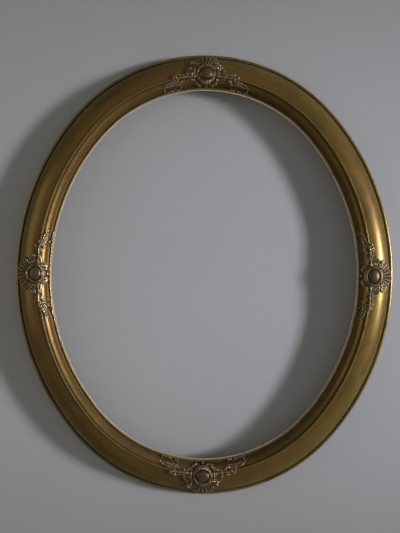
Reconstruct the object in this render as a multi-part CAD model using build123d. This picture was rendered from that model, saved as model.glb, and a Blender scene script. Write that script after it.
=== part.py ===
from build123d import *
import os
from math import atan2, cos, degrees, hypot, radians, sin, sqrt

# Oval picture frame, gilded wooden moulding with four applied cast ornaments.
# Millimetres. The frame hangs upright: +Z is up, +X is to the right as seen from
# the front, the front faces -Y and the back plane that meets the wall is Y = 0.
# The origin is the centre of the oval in the back plane.

# Picture and opening
picture_width = 508.0
picture_height = 610.0
glass_clearance = 1.5
lip_width = 6.0
end_roundness_share = 0.69

# Widths of the moulding's members, from the outer edge to the sight edge
bead_width = 5.5
quirk_width = 1.5
swell_width = 36.0
ridge_width = 2.0
groove_width = 2.5
slope_width = 5.0
fillet_width = 0.5
hollow_width = 4.0
sight_bead_width = 3.0

# Heights of the members above the back plane, and steps between them
side_height = 9.0
quirk_depth = 1.0
swell_spring = 2.0
swell_rise = 25.0
swell_shoulder = 16.0
ridge_rise = 1.2
groove_depth = 3.0
slope_drop = 5.0
slope_belly = 0.4
fillet_drop = 1.0
hollow_drop = 6.5
hollow_sink = 1.0
sight_bead_rise = 1.5

# Back of the moulding
rim_width = 16.0
recess_depth = 5.0
rebate_depth = 9.0

# Joint dowels
dowel_radius = 4.0
dowel_length = 40.0
dowel_end_gap = 1.0
dowel_outer_across = 15.0
dowel_outer_height = 12.0
dowel_inner_across = 39.0
dowel_inner_height = 18.0

# Cast ornaments
casting_inset = 0.8
casting_reach = 69.0
cartouche_across = 40.0
leaf_lift = 2.8
stem_lift = 4.8
shell_lift = 3.4
scroll_lift = 6.4
field_lift = 1.0
leaf_size = 10.0
scroll_radius = 6.9
volute_along = 18.0
volute_across = 23.0
foot_scroll_along = 14.0
foot_scroll_across = 50.0
foot_scroll_radius = 4.4
shell_radius = 14.5
shell_across = 19.0
shell_rib_radius = 3.2
shell_rib_count = 7
shell_spread_angle = 150.0
rim_band = 4.8
pendant_radius = 4.6
pendant_across = 54.0

# Boss in the middle of each cartouche
boss_width = 21.0
boss_height = 17.0
boss_dome_radius = 16.0
boss_edge = 1.2

# Turn buttons
button_across = 36.5
button_length = 22.5
button_head_radius = 6.0
button_tip_radius = 4.0
button_thickness = 1.2
button_play = 0.2

# Screws
screw_radius = 1.7
screw_length = 14.0
screw_point = 4.0
screw_head_radius = 3.6
screw_head_height = 1.9
slot_width = 0.9
slot_depth = 0.8

# Ring hangers
hanger_angle = 24.0
hanger_across = 35.0
strap_width = 10.0
strap_thickness = 0.9
strap_screw_to_bar = 14.0
ring_wire_radius = 1.1
ring_half_width = 9.0
ring_elbow_radius = 3.0
ring_leg = 3.0
bar_clearance = 0.05

# Running clearance of a turning piece on its screw
screw_clearance = 0.06

# How far a cutting solid runs past what it cuts
overrun = 4.0

# Leaf lobes of a side spray, as shares: along the limb of casting_reach, across the
# moulding of the face width, and the lobe's radius of leaf_size
leaf_lobe_shares = [
    (0.36, 0.60, 0.90),
    (0.41, 0.52, 0.66),
    (0.26, 0.66, 0.62),
    (0.35, 0.70, 0.62),
    (0.44, 0.71, 0.60),
    (0.53, 0.71, 0.54),
    (0.61, 0.69, 0.46),
    (0.42, 0.80, 0.48),
    (0.50, 0.84, 0.54),
    (0.58, 0.88, 0.56),
    (0.67, 0.90, 0.54),
    (0.76, 0.90, 0.50),
    (0.85, 0.90, 0.46),
    (0.94, 0.90, 0.38),
    (0.47, 0.61, 0.36),
]
stem_lobe_shares = [
    (0.28, 0.67, 0.36),
    (0.36, 0.70, 0.34),
    (0.44, 0.73, 0.32),
    (0.50, 0.77, 0.30),
    (0.56, 0.82, 0.28),
    (0.63, 0.86, 0.26),
    (0.71, 0.88, 0.24),
    (0.79, 0.89, 0.22),
]
bud_shares = (0.69, 0.66, 0.46)

# Widths added up across the face
face_width = (
    bead_width + quirk_width + swell_width + ridge_width + groove_width
    + slope_width + fillet_width + hollow_width + sight_bead_width
)
quirk_start = bead_width
swell_start = quirk_start + quirk_width
swell_end = swell_start + swell_width
ridge_end = swell_end + ridge_width
groove_end = ridge_end + groove_width
slope_end = groove_end + slope_width
fillet_end = slope_end + fillet_width
hollow_end = fillet_end + hollow_width

# Heights added up
quirk_height = side_height - quirk_depth
spring_height = quirk_height + swell_spring
swell_top = spring_height + swell_rise
ridge_top = swell_top + ridge_rise
groove_floor = ridge_top - groove_depth
slope_foot = groove_floor - slope_drop
hollow_start = slope_foot - fillet_drop
hollow_height = hollow_start - hollow_drop
sight_top = hollow_height + sight_bead_rise
lip_back = recess_depth + rebate_depth
bead_top = side_height + bead_width / 2

# The oval's four arcs, measured at the sight edge
sight_half_width = picture_width / 2 + glass_clearance - lip_width
sight_half_height = picture_height / 2 + glass_clearance - lip_width
end_radius = sight_half_width * (sight_half_width / sight_half_height) ** end_roundness_share
end_offset = sight_half_height - end_radius
side_radius = (end_offset**2 + sight_half_width**2 - end_radius**2) / (
    2 * (sight_half_width - end_radius)
)
side_offset = side_radius - sight_half_width
joint_angle = degrees(atan2(abs(end_offset), abs(side_offset)))

# Each rail: centre of its arc in X and Z, outer radius, middle angle, half sweep
rails = {
    "right": (-side_offset, 0, side_radius + face_width, 0, joint_angle),
    "top": (0, end_offset, end_radius + face_width, 90, 90 - joint_angle),
    "left": (side_offset, 0, side_radius + face_width, 180, joint_angle),
    "bottom": (0, -end_offset, end_radius + face_width, 270, 90 - joint_angle),
}
side_names = {
    "right": ("right_upper", "right_lower"),
    "top": ("top_left", "top_right"),
    "left": ("left_lower", "left_upper"),
    "bottom": ("bottom_right", "bottom_left"),
}


def place_on_rail(rail, along, across):
    """X and Z of a point, along the limb from its middle and across it from the outer edge."""
    centre_x, centre_z, outer_radius, middle, _ = rails[rail]
    turn = middle + degrees(along / (outer_radius - cartouche_across))
    reach = outer_radius - across
    return centre_x + reach * cos(radians(turn)), centre_z + reach * sin(radians(turn)), turn


def section_plane(rail, turn):
    """Plane of a cross-section: local x runs out from the arc's centre, local y to the front."""
    centre_x, centre_z, _, _, _ = rails[rail]
    return Plane(
        origin=(centre_x, 0, centre_z),
        x_dir=(cos(radians(turn)), 0, sin(radians(turn))),
        z_dir=(sin(radians(turn)), 0, -cos(radians(turn))),
    )


def sweep_section(section, rail, start, sweep):
    """Turn a section about the rail's arc centre."""
    centre_x, centre_z, outer_radius, _, _ = rails[rail]
    placed = section_plane(rail, start) * Pos(outer_radius, 0) * section
    return revolve(placed, axis=Axis((centre_x, 0, centre_z), (0, -1, 0)), revolution_arc=sweep)


def swell_arcs():
    """The broad swelling: a tight shoulder arc that runs into a flatter one."""
    spring = (-swell_start, spring_height)
    crown = (-swell_end, swell_top)
    flat_radius = (swell_width**2 + swell_rise**2 - 2 * swell_shoulder * swell_width) / (
        2 * (swell_rise - swell_shoulder)
    )
    shoulder_centre = (-(swell_start + swell_shoulder), spring_height)
    flat_centre = (-swell_end, swell_top - flat_radius)
    lean_x = shoulder_centre[0] - flat_centre[0]
    lean_y = shoulder_centre[1] - flat_centre[1]
    lean = hypot(lean_x, lean_y)
    meeting = (
        shoulder_centre[0] + swell_shoulder * lean_x / lean,
        shoulder_centre[1] + swell_shoulder * lean_y / lean,
    )
    shoulder = TangentArc(spring, meeting, tangent=(0, 1))
    flat = TangentArc(crown, meeting, tangent=(1, 0))
    return shoulder, flat


def middle_of_arc(start, end, rise):
    """Middle point of a shallow arc that stands out of its chord, or sinks if rise is negative."""
    run_x, run_y = end[0] - start[0], end[1] - start[1]
    chord = hypot(run_x, run_y)
    return (
        (start[0] + end[0]) / 2 + rise * run_y / chord,
        (start[1] + end[1]) / 2 - rise * run_x / chord,
    )


def moulding_section():
    """Cross-section of a rail, x minus the distance from the outer edge, y the height."""
    shoulder, flat = swell_arcs()
    bead_middle = (-bead_width / 2, bead_top)
    sight_middle = (-(hollow_end + sight_bead_width / 2), sight_top)
    hollow_middle = middle_of_arc(
        (-fillet_end, hollow_start), (-hollow_end, hollow_height), -hollow_sink
    )
    slope_middle = middle_of_arc((-groove_end, groove_floor), (-slope_end, slope_foot), slope_belly)
    back = Polyline(
        (-face_width, hollow_height),
        (-face_width, lip_back),
        (-(face_width - lip_width), lip_back),
        (-(face_width - lip_width), recess_depth),
        (-rim_width, recess_depth),
        (-rim_width, 0),
        (0, 0),
        (0, side_height),
    )
    outline = [
        back,
        ThreePointArc((0, side_height), bead_middle, (-bead_width, side_height)),
        Polyline(
            (-bead_width, side_height),
            (-bead_width, quirk_height),
            (-swell_start, quirk_height),
            (-swell_start, spring_height),
        ),
        shoulder,
        flat,
        Polyline(
            (-swell_end, swell_top),
            (-swell_end, ridge_top),
            (-ridge_end, ridge_top),
            (-ridge_end, groove_floor),
            (-groove_end, groove_floor),
        ),
        ThreePointArc((-groove_end, groove_floor), slope_middle, (-slope_end, slope_foot)),
        Polyline(
            (-slope_end, slope_foot),
            (-fillet_end, slope_foot),
            (-fillet_end, hollow_start),
        ),
        ThreePointArc((-fillet_end, hollow_start), hollow_middle, (-hollow_end, hollow_height)),
        ThreePointArc((-hollow_end, hollow_height), sight_middle, (-face_width, hollow_height)),
    ]
    return make_face(Wire(edges_of(outline)))


def edges_of(curves):
    """All the edges of a list of curves."""
    found = []
    for curve in curves:
        found.extend(curve.edges())
    return found


def casting_section(lift, follows_cove):
    """Space that a casting of this lift fills, bridging the cove or following it down."""
    low_outer = (-casting_inset, side_height / 2)
    low_inner = (-(face_width - casting_inset), (lip_back + hollow_height) / 2)
    high_outer = (-casting_inset, bead_top + lift / 2)
    high_quirk = (-swell_start, bead_top + lift / 2)
    crown = (-swell_end, ridge_top + lift)
    high_ridge = (-ridge_end, ridge_top + lift)
    high_groove = (-groove_end, groove_floor + lift)
    high_fillet = (-fillet_end, slope_foot + lift)
    high_inner = (-(face_width - casting_inset), sight_top + lift / 2)
    cove = [high_groove, high_fillet] if follows_cove else []
    outline = [
        Polyline(low_inner, low_outer, high_outer, high_quirk),
        TangentArc(crown, high_quirk, tangent=(1, 0)),
        Polyline(crown, high_ridge, *cove, high_inner, low_inner),
    ]
    return make_face(Wire(edges_of(outline)))


def relief(rail, outline, lift, follows_cove=True):
    """A flat outline in X and Z, given the lift of a casting over the moulding."""
    middle = rails[rail][3]
    half = degrees(2 * casting_reach / rails[rail][2])
    space = sweep_section(casting_section(lift, follows_cove), rail, middle - half, 2 * half)
    prism = extrude(Plane.XZ * outline, amount=ridge_top + lift + overrun)
    return prism & space


def disc(rail, along, across, radius):
    """A round patch of an outline, at a place on the rail."""
    x, z, _ = place_on_rail(rail, along, across)
    return Pos(x, z) * Circle(radius)


def join(pieces):
    """Fuse a list of shapes."""
    whole = pieces[0]
    for piece in pieces[1:]:
        whole = whole + piece
    return whole


def dowel_places(rail):
    """Centre line of both dowels at the end of a rail where its angle is largest."""
    _, _, outer_radius, middle, half = rails[rail]
    plane = section_plane(rail, middle + half)
    places = [(dowel_outer_across, dowel_outer_height), (dowel_inner_across, dowel_inner_height)]
    return [plane * Pos(outer_radius - across, height) for across, height in places]


def make_dowels():
    """Two dowels across each joint between neighbouring rails."""
    return [place * Cylinder(dowel_radius, dowel_length) for rail in rails for place in dowel_places(rail)]


def make_dowel_holes():
    """The bores for the dowels, a little longer than they are."""
    length = dowel_length + 2 * dowel_end_gap
    return [place * Cylinder(dowel_radius, length) for rail in rails for place in dowel_places(rail)]


def make_blank(rail):
    """One curved rail before it is bored."""
    _, _, _, middle, half = rails[rail]
    return sweep_section(moulding_section(), rail, middle - half, 2 * half)


def bore_rail(blank, cuts):
    """A rail with the holes that reach it."""
    box = blank.bounding_box()
    for cut in cuts:
        if box.overlaps(cut.bounding_box()):
            blank = blank - cut
    return blank


def cartouche_outline(rail):
    """Shield, scrolls and pendant of a cartouche, all but its shell."""
    x, z, turn = place_on_rail(rail, 0, cartouche_across)
    shield = Pos(x, z) * Rot(0, 0, turn) * Ellipse(
        boss_height / 2 + rim_band, boss_width / 2 + rim_band
    )
    parts = [shield]
    for side in (-1, 1):
        parts.append(disc(rail, side * volute_along, volute_across, scroll_radius))
        parts.append(disc(rail, side * foot_scroll_along, foot_scroll_across, foot_scroll_radius))
        parts.append(
            disc(
                rail,
                side * (boss_width / 2 + rim_band / 2),
                (volute_across + cartouche_across) / 2,
                scroll_radius,
            )
        )
    parts.append(disc(rail, 0, pendant_across, pendant_radius))
    return join(parts)


def shell_outline(rail):
    """Scalloped fan between the cartouche and the outer edge."""
    parts = [disc(rail, 0, shell_across, shell_radius - shell_rib_radius)]
    for rib in range(shell_rib_count):
        spread = radians(shell_spread_angle * (rib / (shell_rib_count - 1) - 1 / 2))
        reach = shell_radius - shell_rib_radius
        parts.append(
            disc(
                rail,
                reach * sin(spread),
                shell_across - reach * cos(spread),
                shell_rib_radius,
            )
        )
    return join(parts)


def field_height():
    """Height of the flat field that the boss sits on."""
    return ridge_top + field_lift


def boss_outline(rail):
    """Oval outline of the boss, its long axis along the limb."""
    x, z, turn = place_on_rail(rail, 0, cartouche_across)
    return Pos(x, z) * Rot(0, 0, turn) * Ellipse(boss_height / 2, boss_width / 2)


def make_cartouche(rail, blank):
    """Centre casting of an ornament, with a flat pocket for its boss."""
    shell = relief(rail, shell_outline(rail), shell_lift)
    body = relief(rail, cartouche_outline(rail), scroll_lift, False)
    pocket = extrude(Plane.XZ * boss_outline(rail), amount=field_height() + scroll_lift + overrun)
    below = Plane.XZ * Pos(*place_on_rail(rail, 0, cartouche_across)[:2])
    floor = extrude(below * Circle(boss_width), amount=field_height())
    return shell + body - (pocket - floor) - blank


def make_boss(rail):
    """Smooth domed oval boss on the flat field."""
    x, z, _ = place_on_rail(rail, 0, cartouche_across)
    half_length = max(boss_width, boss_height) / 2
    sink = sqrt(boss_dome_radius**2 - half_length**2)
    dome = Pos(x, -(field_height() + boss_edge - sink), z) * Sphere(boss_dome_radius)
    column = extrude(Plane.XZ * boss_outline(rail), amount=field_height() + boss_dome_radius)
    below = Plane.XZ * Pos(x, z)
    floor = extrude(below * Circle(boss_width), amount=field_height())
    return (column & dome) - floor


def make_spray(rail, side, blank, cartouche):
    """Leafy side casting, on the side of the cartouche that the sign gives."""
    leaves = []
    for along, across, size in leaf_lobe_shares:
        leaves.append(disc(rail, side * along * casting_reach, across * face_width, size * leaf_size))
    stems = []
    for along, across, size in stem_lobe_shares:
        stems.append(disc(rail, side * along * casting_reach, across * face_width, size * leaf_size))
    bud_along, bud_across, bud_size = bud_shares
    stems.append(disc(rail, side * bud_along * casting_reach, bud_across * face_width, bud_size * leaf_size))
    whole = relief(rail, join(leaves), leaf_lift) + relief(rail, join(stems), stem_lift)
    pieces = (whole - blank - cartouche).solids()
    return max(pieces, key=lambda piece: piece.volume)


def back_plane(rail, along_angle, across, heading):
    """Plane on the recess floor, local z to the back, local y along the limb (heading 1 or -1)."""
    centre_x, centre_z, outer_radius, middle, _ = rails[rail]
    turn = radians(middle + along_angle)
    reach = outer_radius - across
    spot = (centre_x + reach * cos(turn), -recess_depth, centre_z + reach * sin(turn))
    along = Vector(-sin(turn) * heading, 0, cos(turn) * heading)
    return Plane(origin=spot, x_dir=along.cross(Vector(0, 1, 0)), z_dir=(0, 1, 0))


def make_screw(seat):
    """Round-headed slotted wood screw whose head bears at this height above the recess floor."""
    dome = (screw_head_radius**2 + screw_head_height**2) / (2 * screw_head_height)
    head = Pos(0, 0, seat + screw_head_height - dome) * Sphere(dome)
    head = head & Pos(0, 0, seat + dome / 2) * Cylinder(screw_head_radius, dome)
    slot = Pos(0, 0, seat + screw_head_height - slot_depth / 2) * Box(
        2 * (screw_head_radius + overrun), slot_width, slot_depth
    )
    slot = slot + Pos(0, 0, seat + screw_head_height + overrun / 2) * Box(
        2 * (screw_head_radius + overrun), slot_width, overrun
    )
    shank_length = screw_length - screw_point
    shank = Pos(0, 0, seat - shank_length / 2) * Cylinder(screw_radius, shank_length)
    point = Pos(0, 0, seat - shank_length - screw_point / 2) * Cone(
        0, screw_radius, screw_point
    )
    return (head - slot) + shank + point


# Which way each parked button points along its limb
park_headings = {"right": -1, "top": 1, "left": 1, "bottom": -1}


def button_plane(rail):
    """Where a turn button stands on the back of a rail."""
    return back_plane(rail, 0, button_across, park_headings[rail])


def button_seat():
    """Height of the screw head's underside above the recess floor."""
    return button_thickness + 2 * button_play


def make_button(rail):
    """Flat tapered turn button, parked along the limb."""
    tip = button_length - button_tip_radius
    outline = make_hull(
        (Circle(button_head_radius) + Pos(0, tip) * Circle(button_tip_radius)).edges()
    )
    outline = outline - Circle(screw_radius + screw_clearance)
    plate = Pos(0, 0, button_play) * extrude(outline, amount=button_thickness)
    return button_plane(rail) * plate


def hanger_plane(rail):
    """Where a ring hanger stands, its ring towards the top."""
    heading = 1 if rail == "right" else -1
    return back_plane(rail, heading * hanger_angle, hanger_across, heading)


def bar_height():
    """Height of the ring's bar above the recess floor."""
    return ring_wire_radius + bar_clearance + strap_thickness


def make_strap(rail):
    """Strap with one screw hole, rolled round the bar of the ring."""
    bar = bar_height()
    leaf = Rectangle(strap_width, strap_screw_to_bar, align=(Align.CENTER, Align.MIN))
    leaf = leaf + Circle(strap_width / 2) - Circle(screw_radius)
    plate = extrude(leaf, amount=strap_thickness)
    eye = Pos(0, strap_screw_to_bar, bar) * Rot(0, 90, 0) * Cylinder(bar, strap_width)
    bore = Pos(0, strap_screw_to_bar, bar) * Rot(0, 90, 0) * Cylinder(
        ring_wire_radius + bar_clearance, strap_width + 2 * overrun
    )
    return hanger_plane(rail) * (plate + eye - bore)


def make_ring(rail):
    """D-shaped wire ring: a bar, two elbows, two legs and a half round."""
    bend = ring_elbow_radius
    half = ring_half_width
    route = Wire(
        edges_of(
            [
                Line((-(half - bend), 0), (half - bend, 0)),
                TangentArc((half - bend, 0), (half, bend), tangent=(1, 0)),
                Line((half, bend), (half, bend + ring_leg)),
                ThreePointArc(
                    (half, bend + ring_leg),
                    (0, bend + ring_leg + half),
                    (-half, bend + ring_leg),
                ),
                Line((-half, bend + ring_leg), (-half, bend)),
                TangentArc((-half, bend), (-(half - bend), 0), tangent=(0, -1)),
            ]
        )
    )
    start = Plane(origin=(-(half - bend), 0, 0), x_dir=(0, 1, 0), z_dir=(1, 0, 0))
    wire = sweep(start * Circle(ring_wire_radius), path=route)
    return hanger_plane(rail) * Pos(0, strap_screw_to_bar, bar_height()) * wire


def write_node(name, solids):
    """Write the solids of one node to its own file."""
    shape = solids[0] if len(solids) == 1 else Compound(children=solids)
    export_step(shape, os.path.join("parts", name + ".step"))


def main():
    os.makedirs("parts", exist_ok=True)

    dowels = make_dowels()
    button_screws = [button_plane(rail) * make_screw(button_seat()) for rail in rails]
    hanger_screws = [hanger_plane(rail) * make_screw(strap_thickness) for rail in ("left", "right")]
    cuts = make_dowel_holes() + button_screws + hanger_screws

    write_node("joint_dowels", dowels)
    write_node("button_screws", button_screws)
    write_node("hanger_screws", hanger_screws)

    for rail in rails:
        blank = make_blank(rail)
        write_node("rail_" + rail, [bore_rail(blank, cuts)])
        cartouche = make_cartouche(rail, blank)
        write_node("cartouche_" + rail, [cartouche])
        write_node("boss_" + rail, [make_boss(rail)])
        for side, name in zip((1, -1), side_names[rail]):
            write_node("spray_" + name, [make_spray(rail, side, blank, cartouche)])
        write_node("turn_button_" + rail, [make_button(rail)])

    for rail in ("left", "right"):
        write_node("hanger_strap_" + rail, [make_strap(rail)])
        write_node("d_ring_" + rail, [make_ring(rail)])

    print("outer size", 2 * (sight_half_width + face_width), 2 * (sight_half_height + face_width))
    print("face", face_width, "ridge", ridge_top, "sight", sight_top, "hollow", hollow_height)
    for rail in ("left", "right"):
        plane = hanger_plane(rail)
        bar = plane.from_local_coords((0, strap_screw_to_bar, bar_height()))
        print("ring bar", rail, bar, plane.x_dir, plane.y_dir)
    for rail in rails:
        plane = button_plane(rail)
        print("button", rail, plane.origin, plane.y_dir)


main()
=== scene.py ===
import math

import bmesh
import bpy
import numpy as np
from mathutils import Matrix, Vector


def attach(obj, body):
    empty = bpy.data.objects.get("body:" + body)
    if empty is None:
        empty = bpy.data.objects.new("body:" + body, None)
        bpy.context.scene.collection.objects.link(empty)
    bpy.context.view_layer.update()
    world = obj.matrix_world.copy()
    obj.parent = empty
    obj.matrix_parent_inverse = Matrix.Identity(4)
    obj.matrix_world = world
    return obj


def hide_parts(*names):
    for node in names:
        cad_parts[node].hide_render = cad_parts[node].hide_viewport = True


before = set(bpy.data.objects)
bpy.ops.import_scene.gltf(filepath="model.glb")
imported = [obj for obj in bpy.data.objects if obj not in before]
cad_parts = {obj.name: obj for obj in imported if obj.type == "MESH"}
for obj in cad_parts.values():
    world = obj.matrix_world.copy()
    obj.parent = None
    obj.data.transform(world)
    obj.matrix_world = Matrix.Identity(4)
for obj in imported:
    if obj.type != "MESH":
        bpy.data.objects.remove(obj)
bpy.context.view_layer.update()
mm = 0.001
print("frame loaded:", len(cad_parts), "nodes")


# Moulding, in mm: widths run inwards from the outer edge, heights stand on the back plane
moulding = {
    "outerWidth": 619, "outerHeight": 721, "endRoundness": 0.69,
    "bead": 5.5, "quirk": 1.5, "swell": 36, "ridge": 2, "groove": 2.5,
    "slope": 5, "fillet": 0.5, "hollow": 4, "sightBead": 3,
    "sideHeight": 9, "quirkDepth": 1, "swellSpring": 2, "swellRise": 25, "swellShoulder": 16,
    "ridgeRise": 1.2, "grooveDepth": 3, "slopeDrop": 5, "slopeBelly": 0.4,
    "filletDrop": 1, "hollowDrop": 6.5, "hollowSink": 1.0, "sightBeadRise": 1.5,
    "rim": 16, "recess": 5, "rebate": 9, "lip": 6,
    "edgeSoftness": 0.4, "beadSteps": 12, "arcSteps": 16, "slopeSteps": 8, "hollowSteps": 10, "sightSteps": 8,
    "limbSteps": 150,
}
m = moulding
swellStart = m["bead"] + m["quirk"]
swellEnd = swellStart + m["swell"]
ridgeEnd = swellEnd + m["ridge"]
grooveEnd = ridgeEnd + m["groove"]
slopeEnd = grooveEnd + m["slope"]
filletEnd = slopeEnd + m["fillet"]
hollowEnd = filletEnd + m["hollow"]
faceWidth = hollowEnd + m["sightBead"]
quirkHeight = m["sideHeight"] - m["quirkDepth"]
springHeight = quirkHeight + m["swellSpring"]
swellTop = springHeight + m["swellRise"]
ridgeTop = swellTop + m["ridgeRise"]
grooveFloor = ridgeTop - m["grooveDepth"]
slopeFoot = grooveFloor - m["slopeDrop"]
hollowStart = slopeFoot - m["filletDrop"]
hollowHeight = hollowStart - m["hollowDrop"]

# The oval's four arcs, worked out at the sight edge
halfWidth = m["outerWidth"] / 2 - faceWidth
halfHeight = m["outerHeight"] / 2 - faceWidth
endRadius = halfWidth * (halfWidth / halfHeight) ** m["endRoundness"]
endOffset = halfHeight - endRadius
sideRadius = (endOffset**2 + halfWidth**2 - endRadius**2) / (2 * (halfWidth - endRadius))
sideOffset = sideRadius - halfWidth
jointAngle = math.degrees(math.atan2(endOffset, sideOffset))

# Each rail: centre x and z of its arc, outer radius, middle angle, half sweep
rails = {
    "Right": (-sideOffset, 0, sideRadius + faceWidth, 0, jointAngle),
    "Top": (0, endOffset, endRadius + faceWidth, 90, 90 - jointAngle),
    "Left": (sideOffset, 0, sideRadius + faceWidth, 180, jointAngle),
    "Bottom": (0, -endOffset, endRadius + faceWidth, 270, 90 - jointAngle),
}


# Node trees: small helpers. A socket is fed with a value, or with the output that drives it

def feed(tree, node, feeds):
    for slot, source in feeds.items():
        if isinstance(source, bpy.types.NodeSocket):
            tree.links.new(source, node.inputs[slot])
        else:
            node.inputs[slot].default_value = source


def put(tree, kind, feeds=None, **settings):
    node = tree.nodes.new(kind)
    for name, value in settings.items():
        setattr(node, name, value)
    feed(tree, node, feeds or {})
    return node


def noise(tree, vector, scale, detail, roughness=0.5, distortion=0.0):
    return put(tree, "ShaderNodeTexNoise", {
        "Vector": vector, "Scale": scale, "Detail": detail, "Roughness": roughness, "Distortion": distortion,
    }).outputs["Fac"]


def ramp(tree, value, low, high, atLow=0.0, atHigh=1.0):  # atLow where value is low, atHigh where it is high
    return put(tree, "ShaderNodeMapRange", {
        "Value": value, "From Min": low, "From Max": high, "To Min": atLow, "To Max": atHigh,
    }).outputs["Result"]


def reckon(tree, operation, *values, clamp=False):
    return put(tree, "ShaderNodeMath", dict(enumerate(values)), operation=operation, use_clamp=clamp).outputs[0]


def blend(tree, factor, under, over, kind="RGBA"):
    return put(tree, "ShaderNodeMix", {"Factor": factor, "A": under, "B": over}, data_type=kind).outputs["Result"]


def stretched(tree, vector, scale):
    return put(tree, "ShaderNodeMapping", {"Vector": vector, "Scale": scale}).outputs["Vector"]


def readAttribute(tree, name):
    return put(tree, "ShaderNodeAttribute", attribute_name=name).outputs["Fac"]


socketKinds = {float: "NodeSocketFloat", int: "NodeSocketInt", tuple: "NodeSocketColor"}


def newGroup(name, kind, inputs, outputs):  # an input is given by its first value or its socket's kind
    group = bpy.data.node_groups.new(name, kind)
    for label, value in inputs.items():
        socketType = value if isinstance(value, str) else socketKinds[type(value)]
        socket = group.interface.new_socket(label, in_out="INPUT", socket_type=socketType)
        if socketType != value:
            socket.default_value = value
    for label, socketType in outputs.items():
        group.interface.new_socket(label, in_out="OUTPUT", socket_type=socketType)
    return group, group.nodes.new("NodeGroupInput").outputs, group.nodes.new("NodeGroupOutput")


def setInput(modifier, name, value):  # a modifier's input goes by its socket's identifier
    for item in modifier.node_group.interface.items_tree:
        if item.item_type == "SOCKET" and item.in_out == "INPUT" and item.name == name:
            modifier[item.identifier] = value


def newPiece(name, data):
    piece = bpy.data.objects.new(name, data)
    bpy.context.scene.collection.objects.link(piece)
    return piece


def turnOutwards(mesh):
    shell = bmesh.new()
    shell.from_mesh(mesh)
    bmesh.ops.recalc_face_normals(shell, faces=shell.faces)
    if shell.calc_volume(signed=True) < 0:
        bmesh.ops.reverse_faces(shell, faces=shell.faces)
    shell.to_mesh(mesh)
    shell.free()


def settle(piece):  # the modifiers' result becomes the piece's own plain mesh
    graph = bpy.context.evaluated_depsgraph_get()
    mesh = bpy.data.meshes.new_from_object(piece.evaluated_get(graph))
    piece.modifiers.clear()
    piece.data = mesh
    turnOutwards(mesh)


def dress(piece, node):  # part of the fixed frame, shown in place of its solid
    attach(piece, "frame")
    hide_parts(node)


# Shader groups that several finishes share. A pair gives the values at which a change begins and is complete

leafPattern = {
    "patches": (0.36, 0.64), "tints": (0.40, 0.62), "bare": (0.56, 0.72), "rubbed": (0.38, 0.6),
    "grime": (0.25, 0.55), "leastGrime": 0.55, "dulling": (0.35, 0.65), "grimeRoughness": 0.25,
    "wearScale": 2.7, "tintScale": 0.32, "wearHeight": 0.5,
}
wearAndShadePattern = {"ragged": (0.35, 0.6), "rounding": (0.995, 0.93), "shutIn": (0.85, 0.45), "samples": 4}
grainPattern = {"stretch": (0.06, 1.0, 1.0), "tones": (0.35, 0.65), "poreScale": 9.0, "poreHeight": 0.5}
dustPattern = {"patches": (0.3, 0.65), "upward": (0.25, 0.9)}


def makeAgedLeaf():  # metal leaf in two tones: tinted patches, bare bole, rubbed crests lightened as a painted highlight, hollows darkened with grime and painted shade
    group, given, end = newGroup("agedLeaf", "ShaderNodeTree", {
        "Vector": "NodeSocketVector", "Crest": 0.0, "Hollow": 0.0,
        "Leaf": (0.5, 0.33, 0.12, 1), "Shade": (0.3, 0.2, 0.08, 1), "Bole": (0.25, 0.09, 0.05, 1),
        "Dirt": (0.05, 0.035, 0.02, 1), "Rubbed": (0.7, 0.52, 0.26, 1), "Tint": (0.2, 0.1, 0.05, 1),
        "Tint Amount": 0.5, "Rub Floor": 0.35, "Blotch Scale": 30.0, "Grain Scale": 400.0,
        "Bole Amount": 0.4, "Low Roughness": 0.3, "High Roughness": 0.5,
    }, {"Color": "NodeSocketColor", "Roughness": "NodeSocketFloat", "Height": "NodeSocketFloat"})
    place, levels = given["Vector"], leafPattern
    blotch = noise(group, place, given["Blotch Scale"], 5.0, 0.6, 0.4)
    grain = noise(group, place, given["Grain Scale"], 3.0, 0.65)
    wear = noise(group, place, reckon(group, "MULTIPLY", given["Blotch Scale"], levels["wearScale"]), 6.0, 0.7)
    broad = noise(group, place, reckon(group, "MULTIPLY", given["Blotch Scale"], levels["tintScale"]), 3.0, 0.55)

    color = blend(group, ramp(group, blotch, *levels["patches"]), given["Shade"], given["Leaf"])
    tinting = reckon(group, "MULTIPLY", ramp(group, broad, *levels["tints"]), given["Tint Amount"])
    color = blend(group, tinting, color, given["Tint"])
    bare = reckon(group, "MULTIPLY", ramp(group, wear, *levels["bare"]), given["Bole Amount"])
    color = blend(group, bare, color, given["Bole"])
    # crests take a lighter colour: wear, and a painted highlight
    rubHighlight = reckon(group, "MULTIPLY", given["Crest"], ramp(group, wear, *levels["rubbed"], given["Rub Floor"]))
    color = blend(group, rubHighlight, color, given["Rubbed"])
    # hollows take a dark colour: grime, and painted shade in the recesses
    grimeShadePatches = ramp(group, blotch, *levels["grime"], levels["leastGrime"])
    grime = reckon(group, "MULTIPLY", given["Hollow"], grimeShadePatches)
    color = blend(group, grime, color, given["Dirt"])

    rough = ramp(group, wear, *levels["dulling"], given["Low Roughness"], given["High Roughness"])
    feed(group, end, {
        "Color": color,
        "Roughness": reckon(group, "MULTIPLY_ADD", grime, levels["grimeRoughness"], rough, clamp=True),
        "Height": reckon(group, "MULTIPLY_ADD", wear, levels["wearHeight"], grain),
    })
    return group


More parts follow.
